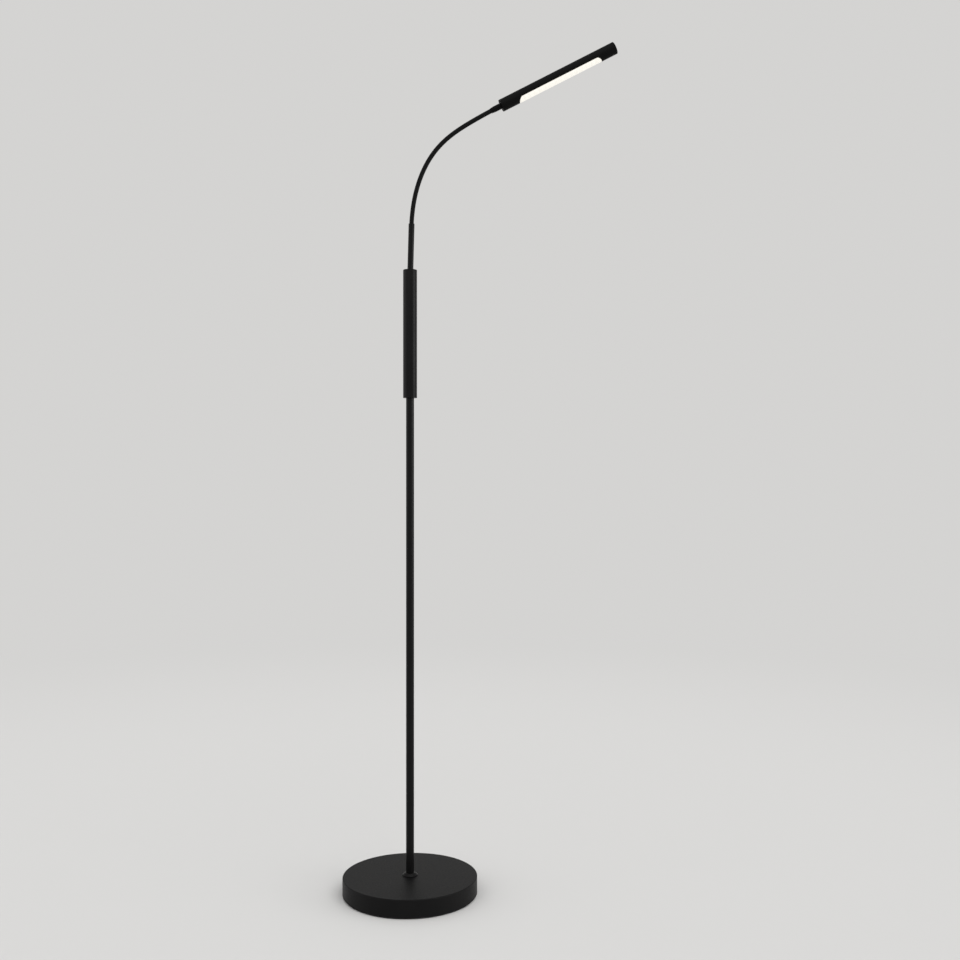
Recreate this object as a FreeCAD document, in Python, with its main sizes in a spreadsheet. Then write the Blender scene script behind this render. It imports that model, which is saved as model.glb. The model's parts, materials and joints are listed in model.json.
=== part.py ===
import FreeCAD, Part
import Sketcher
import math
import os
import re

# Gooseneck reading floor lamp, in millimetres, +Z up.
# The origin is on the floor, on the pole's axis. The head reaches along +X, and the lamp's back is +Y.

VECTOR = FreeCAD.Vector
PLACE = FreeCAD.Placement
TURN = FreeCAD.Rotation

SIZES = [
    # weighted base
    ("base_diameter", 235),
    ("base_cover_height", 29.8),
    ("base_cover_wall", 1.5),
    ("base_edge_round", 1.6),
    ("cover_hole_diameter", 9),
    ("foot_pad_thickness", 3),
    ("foot_pad_inset", 3),
    ("bottom_plate_thickness", 2),
    ("bottom_plate_gap", 0.25),
    ("weight_thickness", 15),
    ("weight_edge_gap", 3),
    ("weight_boss_diameter", 60),
    ("bolt_recess_diameter", 26),
    ("bolt_recess_depth", 9),
    ("bolt_diameter", 8),
    ("bolt_head_across", 13),
    ("bolt_head_height", 5.3),
    ("bolt_grip_in_pole", 22),
    ("washer_diameter", 24),
    ("washer_thickness", 2),
    ("plate_screw_diameter", 4),
    ("plate_screw_head", 7.6),
    ("plate_screw_length", 12),
    ("plate_screw_circle", 150),
    # pole
    ("pole_diameter", 14),
    ("pole_wall", 1.5),
    ("pole_lower_length", 485.2),
    ("pole_upper_showing", 349.5),
    ("pole_in_cap", 16),
    ("pole_insert_length", 30),
    ("coupler_length", 60),
    ("coupler_bore", 7),
    ("collar_diameter", 27),
    ("collar_top_diameter", 19),
    ("collar_height", 5),
    ("collar_rim", 1.4),
    ("collar_round", 1.2),
    # grip
    ("grip_diameter", 24.4),
    ("grip_wall", 1.7),
    ("grip_length", 224),
    ("grip_cap_rim", 2),
    ("grip_cap_round", 0.7),
    ("lower_cap_web", 2),
    ("upper_cap_seat", 14),
    ("set_screw_diameter", 4),
    ("set_screw_height", 9),
    ("set_screw_sunk", 0.6),
    # battery and electronics in the grip
    ("cell_diameter", 18.4),
    ("cell_button_diameter", 6),
    ("cell_button_height", 1.4),
    ("cell_liner_wall", 0.9),
    ("contact_diameter", 17),
    ("contact_thickness", 0.5),
    ("contact_dome", 1),
    ("board_width", 17),
    ("board_length", 42),
    ("board_thickness", 1.2),
    ("board_top_room", 8.2),
    ("charge_port_height", 14),
    ("charge_port_tall", 8.9),
    ("charge_port_wide", 3.2),
    ("charge_port_wall", 0.3),
    ("charge_port_sunk", 0.6),
    ("charge_port_depth", 6.2),
    ("charge_tongue_thickness", 0.7),
    ("button_height", 34),
    ("button_diameter", 9.8),
    ("button_proud", 0.9),
    ("button_travel", 0.5),
    ("button_flange_diameter", 12),
    ("button_flange_thickness", 0.9),
    ("button_edge_round", 0.5),
    ("switch_width", 6),
    ("switch_body_height", 3.5),
    ("plunger_diameter", 3.4),
    ("plunger_in_switch", 1.8),
    # neck
    ("sleeve_diameter", 10.4),
    ("sleeve_showing", 81),
    ("sleeve_lean", 1.5),
    ("sleeve_edge", 0.5),
    ("sleeve_nut_across", 14),
    ("sleeve_nut_thickness", 5),
    ("sleeve_nut_seat_depth", 0.4),
    ("link_diameter", 8),
    ("link_bore", 4),
    ("link_pitch", 22.3),
    ("cup_lip", 1.6),
    ("root_in_sleeve", 20),
    ("root_showing", 6),
    ("tip_showing", 6),
    ("lead_diameter", 2.4),
    # head
    ("ferrule_mouth_diameter", 9),
    ("ferrule_diameter", 10.4),
    ("ferrule_taper_length", 7),
    ("ferrule_length", 19.7),
    ("ferrule_socket", 14),
    ("ferrule_stem_diameter", 6),
    ("ferrule_nut_across", 10),
    ("ferrule_nut_thickness", 2.5),
    ("head_diameter", 21.5),
    ("head_wall", 1.4),
    ("head_length", 223.5),
    ("head_cap_rim", 3),
    ("head_cap_seat", 6),
    ("head_cap_edge", 0.4),
    ("slot_start", 31.9),
    ("slot_length", 160.5),
    ("slot_half_angle", 68),
    ("slot_corner", 7.3),
    ("heat_bar_wall", 2),
    ("heat_bar_end_gap", 1),
    ("led_plane_drop", 1.6),
    ("led_board_width", 12),
    ("led_board_thickness", 1),
    ("led_board_overrun", 6),
    ("led_width", 2.8),
    ("led_length", 3.5),
    ("led_height", 0.8),
    ("board_screw_diameter", 2.5),
    ("board_screw_head", 4.5),
    ("board_screw_head_height", 1.4),
    ("board_screw_inset", 3),
    ("diffuser_wall", 1.4),
    ("diffuser_lip", 4),
    ("diffuser_lip_angle", 79),
    # clearances
    ("seat_gap", 0.05),
    ("running_gap", 0.1),
    ("thread_gap", 0.02),
    ("diffuser_gap", 0.15),
]

# How far each joint of the neck is bent at rest, in degrees, from the sleeve to the head.
REST_BENDS = [4, 4.7, 5.2, 5.6, 6.6, 7.8, 8.4, 7.7, 5.4, 2.7, 1.4, 2]
CELL_NAMES = ["battery_cell_lower", "battery_cell_upper"]
LED_COUNT = 16
PLATE_SCREW_COUNT = 4

DOC = FreeCAD.newDocument("ReadingLamp")
SHEET = DOC.addObject("Spreadsheet::Sheet", "Dims")
BEND_SIZES = [(f"rest_bend_{n:02d}", bend) for n, bend in enumerate(REST_BENDS, 1)]
for row, (alias, size) in enumerate(SIZES + BEND_SIZES, 1):
    SHEET.set(f"A{row}", alias)
    SHEET.set(f"B{row}", str(size))
    SHEET.setAlias(f"B{row}", alias)
DOC.recompute()
ALIASES = {alias for alias, size in SIZES + BEND_SIZES}
PARTS = []

# Heights above the floor and along the head, worked out from the sizes.
COVER_FOOT = "foot_pad_thickness"
BASE_TOP = f"({COVER_FOOT} + base_cover_height)"
WEIGHT_FOOT = f"({COVER_FOOT} + bottom_plate_thickness)"
WEIGHT_HEIGHT = "(base_cover_height - base_cover_wall - bottom_plate_thickness)"
POLE_SPLIT = f"({BASE_TOP} + pole_lower_length)"
GRIP_FOOT = f"({POLE_SPLIT} + pole_upper_showing)"
GRIP_TOP = f"({GRIP_FOOT} + grip_length)"
TOP_CAP_FOOT = f"({GRIP_TOP} - grip_cap_rim - upper_cap_seat)"
SLEEVE_FOOT = f"({TOP_CAP_FOOT} + sleeve_nut_seat_depth - sleeve_nut_thickness)"
SLEEVE_LENGTH = f"({GRIP_TOP} - {SLEEVE_FOOT} + sleeve_showing)"
CARRIER_FOOT = f"({SLEEVE_FOOT} - board_top_room - board_length)"
CELL_STACK_FOOT = f"({GRIP_FOOT} + pole_in_cap + lower_cap_web)"
CELLS_FOOT = f"({CELL_STACK_FOOT} + contact_thickness + contact_dome)"
CELLS_TOP = f"({CARRIER_FOOT} - contact_thickness)"
CELL_HEIGHT = f"(({CELLS_TOP} - {CELLS_FOOT}) / {len(CELL_NAMES)})"
GRIP_BORE = "(grip_diameter - 2 * grip_wall)"
POLE_BORE = "(pole_diameter - 2 * pole_wall)"
HEAD_BORE = "(head_diameter - 2 * head_wall)"
HEAD_END = "(ferrule_length + head_length)"
SLOT_FOOT = "(ferrule_length + slot_start)"
SLOT_DEPTH = "(head_diameter / 2 * cos(slot_half_angle))"
SLOT_WIDTH = "(head_diameter * sin(slot_half_angle))"
END_CAP_FOOT = f"({HEAD_END} - head_cap_rim - head_cap_seat)"
HEAT_BAR_END = f"({END_CAP_FOOT} - heat_bar_end_gap)"
LED_BOARD_FOOT = f"({SLOT_FOOT} - led_board_overrun)"
LED_BOARD_LENGTH = f"({HEAT_BAR_END} - {LED_BOARD_FOOT})"

AIM = {"z": TURN(), "y": TURN(VECTOR(1, 0, 0), -90), "x": TURN(VECTOR(0, 1, 0), 90)}


def in_sheet(text):
    """The expression with each size's name turned into its cell in the sheet."""
    return re.sub(r"[a-z][a-z_0-9]*", lambda m: f"Dims.{m[0]}" if m[0] in ALIASES else m[0], text)


def number(text):
    """What an expression of sizes comes to."""
    return float(SHEET.evalExpression(in_sheet(text)))


def bind(item, **sizes):
    for key, text in sizes.items():
        item.setExpression(key, in_sheet(text))


def move(item, x="0", y="0", z="0"):
    for axis, text in (("x", x), ("y", y), ("z", z)):
        if text != "0":
            item.setExpression("Placement.Base." + axis, in_sheet(text))


def rod(name, diameter, length, x="0", y="0", z="0", along="z"):
    item = DOC.addObject("Part::Cylinder", name)
    item.Placement = PLACE(VECTOR(), AIM[along])
    bind(item, Radius=f"({diameter}) / 2", Height=length)
    move(item, x, y, z)
    return item


def block(name, wide, deep, tall, x="0", y="0", z="0"):
    """A box with its lowest corner at x, y, z."""
    item = DOC.addObject("Part::Box", name)
    bind(item, Length=wide, Width=deep, Height=tall)
    move(item, x, y, z)
    return item


def cone(name, foot_diameter, top_diameter, length, x="0", y="0", z="0"):
    item = DOC.addObject("Part::Cone", name)
    bind(item, Radius1=f"({foot_diameter}) / 2", Radius2=f"({top_diameter}) / 2", Height=length)
    move(item, x, y, z)
    return item


def hexagon(name, across, length, z="0"):
    item = DOC.addObject("Part::Prism", name)
    item.Polygon = 6
    bind(item, Circumradius=f"({across}) / 2 / cos(30)", Height=length)
    move(item, z=z)
    return item


def join(name, *items):
    item = DOC.addObject("Part::MultiFuse", name)
    item.Shapes = list(items)
    return item


def group(name, items):
    item = DOC.addObject("Part::Compound", name)
    item.Links = list(items)
    return item


def overlap(name, *items):
    item = DOC.addObject("Part::MultiCommon", name)
    item.Shapes = list(items)
    return item


def cut(name, base, *tools):
    item = DOC.addObject("Part::Cut", name)
    item.Base = base
    item.Tool = tools[0] if len(tools) == 1 else join(name + "_tools", *tools)
    return item


def tube(name, outer, inner, length, z="0"):
    return cut(name, rod(name + "_outside", outer, length, z=z), rod(name + "_inside", inner, length, z=z))


def part(item, label=None):
    """Keeps an item as one of the lamp's pieces, under its label."""
    item.Label = label or item.Name
    PARTS.append(item)
    return item


def plane_of(body, role):
    return next(plane for plane in body.Origin.OriginFeatures if plane.Role == role)


def hold(sketch, vertex, texts):
    """Ties a corner of a sketch to its radius and height. A text that starts with ~ is only where it starts."""
    edge, end = vertex
    for text, kind, axis in zip(texts, ("DistanceX", "DistanceY"), (-2, -1)):
        if text.startswith("~"):
            continue
        if text == "0":
            sketch.addConstraint(Sketcher.Constraint("PointOnObject", edge, end, axis))
            continue
        size = Sketcher.Constraint(kind, -1, 1, edge, end, number(text))
        sketch.setExpression(f"Constraints[{sketch.addConstraint(size)}]", in_sheet(text))


def turned(name, corners, arcs=None):
    """A piece turned on a lathe: its outline of (radius, height) corners, swept once round the Z axis.

    arcs gives, for an edge's number, the radius and the height on the axis of the arc that it is.
    """
    body = DOC.addObject("PartDesign::Body", name)
    sketch = body.newObject("Sketcher::SketchObject", name + "_outline")
    sketch.AttachmentSupport = [(plane_of(body, "XZ_Plane"), "")]
    sketch.MapMode = "FlatFace"
    points = [VECTOR(number(r.strip("~")), number(z.strip("~")), 0) for r, z in corners]
    arcs = arcs or {}
    ends = []
    for n, start in enumerate(points):
        stop = points[(n + 1) % len(points)]
        if n not in arcs:
            sketch.addGeometry(Part.LineSegment(start, stop))
            ends.append((1, 2))
            continue
        radius, height = arcs[n]
        centre = VECTOR(0, number(height), 0)
        angles = [math.atan2(p.y - centre.y, p.x) for p in (start, stop)]
        circle = Part.Circle(centre, VECTOR(0, 0, 1), number(radius))
        sketch.addGeometry(Part.ArcOfCircle(circle, min(angles), max(angles)))
        ends.append((1, 2) if angles[0] < angles[1] else (2, 1))
    for n in range(len(points)):
        after = (n + 1) % len(points)
        sketch.addConstraint(Sketcher.Constraint("Coincident", n, ends[n][1], after, ends[after][0]))
    for n, (radius, height) in arcs.items():
        sketch.addConstraint(Sketcher.Constraint("PointOnObject", n, 3, -2))
        size = sketch.addConstraint(Sketcher.Constraint("Radius", n, number(radius)))
        sketch.setExpression(f"Constraints[{size}]", in_sheet(radius))
        hold(sketch, (n, 3), ("~", height))
    for n, texts in enumerate(corners):
        hold(sketch, (n, ends[n][0]), texts)
    sweep = body.newObject("PartDesign::Revolution", name + "_turned")
    sweep.Profile = sketch
    sweep.ReferenceAxis = (sketch, ["V_Axis"])
    sweep.Angle = 360
    DOC.recompute()
    return body


def soften(body, kind, radius, height, amount):
    """Rounds or bevels the circular edge of a turned piece that has this radius and height."""
    base = body.Tip
    wanted = (number(radius), number(height))
    names = []
    for n, edge in enumerate(base.Shape.Edges, 1):
        if isinstance(edge.Curve, Part.Circle):
            found = (edge.Curve.Radius, edge.Curve.Center.z)
            if math.dist(found, wanted) < 1e-4:
                names.append(f"Edge{n}")
    feature = body.newObject("PartDesign::" + kind, f"{body.Name}_{kind}_{len(body.Group)}")
    feature.Base = (base, names)
    bind(feature, **{"Radius" if kind == "Fillet" else "Size": amount})
    DOC.recompute()


def lean(item, along="0"):
    """Puts an item in line with the neck sleeve, which leans, at a distance along it from its foot."""
    item.Placement = PLACE(VECTOR(), TURN(VECTOR(0, 1, 0), 45))
    item.setExpression("Placement.Base.x", in_sheet(f"({along}) * sin(sleeve_lean)"))
    item.setExpression("Placement.Base.z", in_sheet(f"{SLEEVE_FOOT} + ({along}) * cos(sleeve_lean)"))
    item.setExpression("Placement.Rotation.Angle", in_sheet("sleeve_lean * 1deg"))


def follow(item, before, distance, bend="0"):
    """Puts an item on the end of the neck so far: a distance along the piece before it, bent from its line."""
    item.Placement = PLACE(VECTOR(), TURN(VECTOR(0, 1, 0), 45))
    angle = f"{before.Name}.Placement.Rotation.Angle"
    base = f"{before.Name}.Placement.Base"
    step = f"({in_sheet(distance)}) * 1mm"
    item.setExpression("Placement.Base.x", f"{base}.x + {step} * sin({angle})")
    item.setExpression("Placement.Base.z", f"{base}.z + {step} * cos({angle})")
    item.setExpression("Placement.Rotation.Angle", f"{angle} + ({in_sheet(bend)}) * 1deg")


# ---- weighted base ----


def make_base():
    foot = rod("foot_pad", "base_diameter - 2 * foot_pad_inset", "foot_pad_thickness")
    part(foot)

    screws = []
    countersinks = []
    screw_holes = []
    for n in range(PLATE_SCREW_COUNT):
        turn = 360 * (n + 0.5) / PLATE_SCREW_COUNT
        spot = {"x": f"plate_screw_circle / 2 * cos({turn})", "y": f"plate_screw_circle / 2 * sin({turn})"}
        hole_size = "plate_screw_diameter + 2 * thread_gap"
        head = cone(f"plate_screw_head_{n}", "plate_screw_head", "plate_screw_diameter",
                    "bottom_plate_thickness", z=COVER_FOOT, **spot)
        shank = rod(f"plate_screw_shank_{n}", "plate_screw_diameter", "plate_screw_length",
                    z=COVER_FOOT, **spot)
        screws.append(join(f"plate_screw_{n}", head, shank))
        countersinks.append(cone(f"countersink_{n}", "plate_screw_head + 2 * thread_gap", hole_size,
                                 "bottom_plate_thickness", z=COVER_FOOT, **spot))
        screw_holes.append(rod(f"screw_hole_{n}", hole_size, "plate_screw_length", z=COVER_FOOT, **spot))
    part(group("plate_screws", screws))

    plate = rod("bottom_plate_disc", "base_diameter - 2 * base_cover_wall - 2 * bottom_plate_gap",
                "bottom_plate_thickness", z=COVER_FOOT)
    access = rod("bottom_plate_access", "bolt_recess_diameter", "bottom_plate_thickness", z=COVER_FOOT)
    part(cut("base_bottom_plate", plate, access, *countersinks))

    hole = "(bolt_diameter / 2 + 2 * running_gap)"
    edge = "(base_diameter / 2 - base_cover_wall - weight_edge_gap)"
    weight = turned("weight_casting", [
        ("bolt_recess_diameter / 2", "0"),
        (edge, "0"),
        (edge, "weight_thickness"),
        ("weight_boss_diameter / 2", "weight_thickness"),
        ("weight_boss_diameter / 2", WEIGHT_HEIGHT),
        (hole, WEIGHT_HEIGHT),
        (hole, "bolt_recess_depth"),
        ("bolt_recess_diameter / 2", "bolt_recess_depth"),
    ])
    move(weight, z=WEIGHT_FOOT)
    part(cut("base_weight", weight, *screw_holes))

    rim = "base_diameter / 2"
    skin = "base_cover_height - base_cover_wall"
    cover = turned("base_cover", [
        (rim, "0"),
        (rim, "base_cover_height"),
        ("cover_hole_diameter / 2", "base_cover_height"),
        ("cover_hole_diameter / 2", skin),
        (f"{rim} - base_cover_wall", skin),
        (f"{rim} - base_cover_wall", "0"),
    ])
    soften(cover, "Fillet", rim, "base_cover_height", "base_edge_round")
    move(cover, z=COVER_FOOT)
    part(cover)

    washer_top = f"({WEIGHT_FOOT} + bolt_recess_depth)"
    washer_foot = f"({washer_top} - washer_thickness)"
    part(tube("base_washer", "washer_diameter", "bolt_diameter + 2 * running_gap", "washer_thickness",
              z=washer_foot))
    bolt_head = hexagon("base_bolt_head", "bolt_head_across", "bolt_head_height",
                        z=f"{washer_foot} - bolt_head_height")
    bolt_shank = rod("base_bolt_shank", "bolt_diameter", f"{BASE_TOP} + bolt_grip_in_pole - {washer_foot}",
                     z=washer_foot)
    part(join("base_bolt", bolt_head, bolt_shank))


# ---- pole ----


def make_pole():
    part(tube("pole_foot_insert", f"{POLE_BORE} - 2 * seat_gap", "bolt_diameter + 2 * thread_gap",
              "pole_insert_length", z=BASE_TOP))
    part(tube("pole_lower", "pole_diameter", POLE_BORE, "pole_lower_length", z=BASE_TOP))
    part(tube("pole_coupler", f"{POLE_BORE} - 2 * seat_gap", "coupler_bore", "coupler_length",
              z=f"{POLE_SPLIT} - coupler_length / 2"))
    part(tube("pole_upper", "pole_diameter", POLE_BORE, "pole_upper_showing + pole_in_cap", z=POLE_SPLIT))

    inside = "(pole_diameter / 2 + seat_gap)"
    collar = turned("pole_collar", [
        (inside, "0"),
        ("collar_diameter / 2", "0"),
        ("collar_diameter / 2", "collar_rim"),
        ("collar_top_diameter / 2", "collar_height"),
        (inside, "collar_height"),
    ])
    soften(collar, "Fillet", "collar_top_diameter / 2", "collar_height", "collar_round")
    soften(collar, "Fillet", "collar_diameter / 2", "collar_rim", "collar_round")
    move(collar, z=BASE_TOP)
    part(collar)


# ---- grip ----


def stadium(name, tall, wide, deep, y, z):
    """An upright slot shape with round ends, centred on x = 0 and on height z, running along +Y from y."""
    middle = block(name + "_middle", wide, deep, f"({tall}) - ({wide})", x=f"-({wide}) / 2", y=y,
                   z=f"{z} - (({tall}) - ({wide})) / 2")
    ends = [rod(f"{name}_end_{n}", wide, deep, y=y, z=f"{z} + {way} * (({tall}) - ({wide})) / 2", along="y")
            for n, way in enumerate((-1, 1))]
    return join(name, middle, *ends)


def make_grip_shell():
    lower_height = "(pole_in_cap + lower_cap_web)"
    pole_seat = "(pole_diameter / 2 + seat_gap)"
    spigot = f"({GRIP_BORE} / 2 - seat_gap)"
    rim = "grip_diameter / 2"
    lower = turned("lower_cap_turned", [
        (pole_seat, "0"),
        (rim, "0"),
        (rim, "grip_cap_rim"),
        (spigot, "grip_cap_rim"),
        (spigot, lower_height),
        ("0", lower_height),
        ("0", "pole_in_cap"),
        (pole_seat, "pole_in_cap"),
    ])
    soften(lower, "Fillet", rim, "0", "grip_cap_round")
    move(lower, z=GRIP_FOOT)
    screw_at = f"({GRIP_FOOT} + set_screw_height)"
    screw_hole = rod("set_screw_hole", "set_screw_diameter + 2 * thread_gap", "grip_diameter",
                     z=screw_at, along="y")
    part(cut("grip_bottom_cap", lower, screw_hole))
    part(rod("grip_set_screw", "set_screw_diameter", "(grip_diameter - pole_diameter) / 2 - set_screw_sunk",
             y="pole_diameter / 2", z=screw_at, along="y"))

    tube_foot = f"({GRIP_FOOT} + grip_cap_rim)"
    shell = tube("grip_shell", "grip_diameter", GRIP_BORE, "grip_length - 2 * grip_cap_rim", z=tube_foot)
    button_hole = rod("button_hole", "button_diameter + 2 * running_gap", "grip_diameter",
                      z=f"{CARRIER_FOOT} + button_height", along="y")
    port_hole = stadium("port_hole", "charge_port_tall + 4 * running_gap", "charge_port_wide + 4 * running_gap",
                        "grip_diameter", "0", f"({CARRIER_FOOT} + charge_port_height)")
    shell_screw_hole = rod("shell_screw_hole", "set_screw_diameter + 2 * thread_gap", "grip_diameter",
                           z=screw_at, along="y")
    part(cut("grip_tube", shell, button_hole, port_hole, shell_screw_hole))

    upper_height = "(upper_cap_seat + grip_cap_rim)"
    upper = turned("upper_cap_turned", [
        ("0", "0"),
        (spigot, "0"),
        (spigot, "upper_cap_seat"),
        (rim, "upper_cap_seat"),
        (rim, upper_height),
        ("0", upper_height),
    ])
    soften(upper, "Fillet", rim, upper_height, "grip_cap_round")
    move(upper, z=TOP_CAP_FOOT)
    sleeve_hole = rod("sleeve_hole", "sleeve_diameter + 2 * seat_gap", SLEEVE_LENGTH)
    nut_seat = rod("sleeve_nut_seat", "sleeve_nut_across / cos(30) + 2 * seat_gap", "sleeve_nut_thickness")
    lean(sleeve_hole)
    lean(nut_seat)
    part(cut("grip_top_cap", upper, sleeve_hole, nut_seat))


def make_battery():
    dome = cone("lower_contact_dome", "contact_diameter / 2", "cell_button_diameter", "contact_dome",
                z=f"{CELL_STACK_FOOT} + contact_thickness")
    disc = rod("lower_contact_disc", "contact_diameter", "contact_thickness", z=CELL_STACK_FOOT)
    part(join("battery_contact_lower", disc, dome))
    can_height = f"({CELL_HEIGHT} - cell_button_height)"
    for n, name in enumerate(CELL_NAMES):
        foot = f"({CELLS_FOOT} + {n} * {CELL_HEIGHT})"
        can = rod(name + "_can", "cell_diameter", can_height, z=foot)
        button = rod(name + "_button", "cell_button_diameter", "cell_button_height", z=f"{foot} + {can_height}")
        part(join(name, can, button))
    part(rod("battery_contact_upper", "contact_diameter", "contact_thickness", z=CELLS_TOP))
    liner_bore = "cell_diameter + 2 * seat_gap"
    part(tube("battery_liner", f"{liner_bore} + 2 * cell_liner_wall", liner_bore,
              f"{CELLS_TOP} - {CELLS_FOOT}", z=CELLS_FOOT))


def make_electronics():
    board_back = "(-board_thickness / 2)"
    board_face = "(board_thickness / 2)"
    bed = rod("carrier_round", f"{GRIP_BORE} - 2 * seat_gap", "board_length", z=CARRIER_FOOT)
    front = block("carrier_front", "grip_diameter", "grip_diameter / 2 - board_thickness / 2", "board_length",
                  x="-grip_diameter / 2", y="-grip_diameter / 2", z=CARRIER_FOOT)
    part(overlap("board_carrier", bed, front))
    part(block("control_board", "board_width", "board_thickness", "board_length",
               x="-board_width / 2", y=board_back, z=CARRIER_FOOT))

    port_z = f"({CARRIER_FOOT} + charge_port_height)"
    port_end = "(grip_diameter / 2 - charge_port_sunk)"
    shell = stadium("charge_port_shell", "charge_port_tall", "charge_port_wide", f"{port_end} - {board_face}",
                    board_face, port_z)
    hollow = stadium("charge_port_hollow", "charge_port_tall - 2 * charge_port_wall",
                     "charge_port_wide - 2 * charge_port_wall", "charge_port_depth",
                     f"{port_end} - charge_port_depth", port_z)
    tongue_tall = "(charge_port_tall - charge_port_wide)"
    tongue = block("charge_port_tongue", "charge_tongue_thickness", "charge_port_depth - charge_port_sunk",
                   tongue_tall, x="-charge_tongue_thickness / 2", y=f"{port_end} - charge_port_depth",
                   z=f"{port_z} - {tongue_tall} / 2")
    part(join("charge_port", cut("charge_port_can", shell, hollow), tongue))

    button_z = f"({CARRIER_FOOT} + button_height)"
    well_size = "plunger_diameter + 2 * seat_gap"
    can = block("switch_can", "switch_width", "switch_body_height", "switch_width",
                x="-switch_width / 2", y=board_face, z=f"{button_z} - switch_width / 2")
    switch_top = f"({board_face} + switch_body_height)"
    well = rod("switch_well", well_size, "plunger_in_switch + button_travel + seat_gap",
               y=f"{switch_top} - plunger_in_switch - button_travel - seat_gap", z=button_z, along="y")
    part(cut("switch_body", can, well))

    bore_edge = f"sqrt(({GRIP_BORE} / 2)^2 - (button_flange_diameter / 2)^2)"
    flange_front = f"({bore_edge} - running_gap)"
    flange_back = f"({flange_front} - button_flange_thickness)"
    button_end = "(grip_diameter / 2 + button_proud)"
    part(rod("switch_plunger", "plunger_diameter", f"{flange_back} - {switch_top} + plunger_in_switch",
             y=f"{switch_top} - plunger_in_switch", z=button_z, along="y"))
    button = turned("power_button", [
        ("0", "0"),
        ("button_flange_diameter / 2", "0"),
        ("button_flange_diameter / 2", "button_flange_thickness"),
        ("button_diameter / 2", "button_flange_thickness"),
        ("button_diameter / 2", f"{button_end} - {flange_back}"),
        ("0", f"{button_end} - {flange_back}"),
    ])
    soften(button, "Fillet", "button_diameter / 2", f"{button_end} - {flange_back}", "button_edge_round")
    button.Placement = PLACE(VECTOR(), AIM["y"])
    move(button, y=flange_back, z=button_z)
    part(button)


# ---- neck ----


def make_sleeve():
    bore = "(link_diameter / 2 + running_gap)"
    sleeve = turned("neck_sleeve", [
        (bore, "0"),
        ("sleeve_diameter / 2", "0"),
        ("sleeve_diameter / 2", SLEEVE_LENGTH),
        (bore, SLEEVE_LENGTH),
    ])
    soften(sleeve, "Chamfer", "sleeve_diameter / 2", SLEEVE_LENGTH, "sleeve_edge")
    nut_blank = hexagon("sleeve_nut_blank", "sleeve_nut_across", "sleeve_nut_thickness")
    nut_bore = rod("sleeve_nut_bore", "sleeve_diameter + 2 * thread_gap", "sleeve_nut_thickness")
    for piece in (sleeve, cut("sleeve_nut", nut_blank, nut_bore)):
        lean(piece)
        part(piece)


def link(name, length, cup=True, ball=True):
    """One link of the neck, from its own hinge at the origin to the next one, at this length along +Z."""
    outside = "(link_diameter / 2)"
    bore = "(link_bore / 2)"
    cup_round = f"({outside} + running_gap)"
    corners = []
    arcs = {}
    if cup:
        arcs[len(corners)] = (cup_round, "0")
        corners.append((bore, f"~sqrt({cup_round}^2 - {bore}^2)"))
        corners.append((f"~sqrt({cup_round}^2 - cup_lip^2)", "cup_lip"))
        corners.append((outside, "cup_lip"))
    else:
        corners += [(bore, "0"), (outside, "0")]
    if ball:
        arcs[len(corners)] = (outside, length)
        corners.append(("~" + outside, length))
        corners.append((bore, f"~{length} + sqrt({outside}^2 - {bore}^2)"))
    else:
        corners += [(outside, length), (bore, length)]
    return part(turned(name, corners, arcs))


def make_neck():
    root = link("neck_link_root", "(root_in_sleeve + root_showing)", cup=False)
    lean(root, f"{SLEEVE_LENGTH} - root_in_sleeve")
    links = [root]
    reach = "root_in_sleeve + root_showing"
    for n in range(1, len(REST_BENDS)):
        piece = link(f"neck_link_{n:02d}", "link_pitch")
        follow(piece, links[-1], reach, f"rest_bend_{n:02d}")
        links.append(piece)
        reach = "link_pitch"
    tip = link("neck_link_tip", "(tip_showing + ferrule_socket)", ball=False)
    follow(tip, links[-1], reach, f"rest_bend_{len(REST_BENDS):02d}")
    return links + [tip]


def rounded_route(points, share=0.45):
    """A wire through the points, with a tangent arc at each corner that takes this share of the shorter run."""
    edges = []
    start = points[0]
    for before, corner, after in zip(points, points[1:], points[2:]):
        back = before - corner
        ahead = after - corner
        reach = share * min(back.Length, ahead.Length)
        enter = corner + VECTOR(back).normalize() * reach
        leave = corner + VECTOR(ahead).normalize() * reach
        half_turn = (math.pi - back.getAngle(ahead)) / 2
        inside = (VECTOR(back).normalize() + VECTOR(ahead).normalize()).normalize()
        radius = reach / math.tan(half_turn)
        sagitta = radius / math.cos(half_turn) - radius
        edges.append(Part.LineSegment(start, enter).toShape())
        edges.append(Part.Arc(enter, corner + inside * sagitta, leave).toShape())
        start = leave
    edges.append(Part.LineSegment(start, points[-1]).toShape())
    return Part.Wire(edges)


def make_leads(links):
    tip = links[-1].Placement
    tip_end = tip.multVec(VECTOR(0, 0, number("tip_showing + ferrule_socket")))
    corners = [piece.Placement.Base for piece in links] + [tip_end]
    route = rounded_route(corners)
    first_run = corners[1] - corners[0]
    section = Part.Wire([Part.makeCircle(number("lead_diameter / 2"), corners[0], first_run)])
    neck_lead = DOC.addObject("Part::Feature", "neck_lead")
    neck_lead.Shape = route.makePipeShell([section], True, True)
    part(neck_lead)

    below_sleeve = "(board_top_room - seat_gap)"
    supply_lead = rod("supply_lead", "lead_diameter", f"{below_sleeve} + {SLEEVE_LENGTH} - root_in_sleeve")
    lean(supply_lead, f"-{below_sleeve}")
    part(supply_lead)
    head_lead = rod("head_lead", "lead_diameter", f"{LED_BOARD_FOOT} - ferrule_socket")
    follow(head_lead, links[-1], "tip_showing + ferrule_socket")
    part(head_lead)


# ---- head: +Z here is along the head from the ferrule's mouth, and +X is its underside ----


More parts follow.
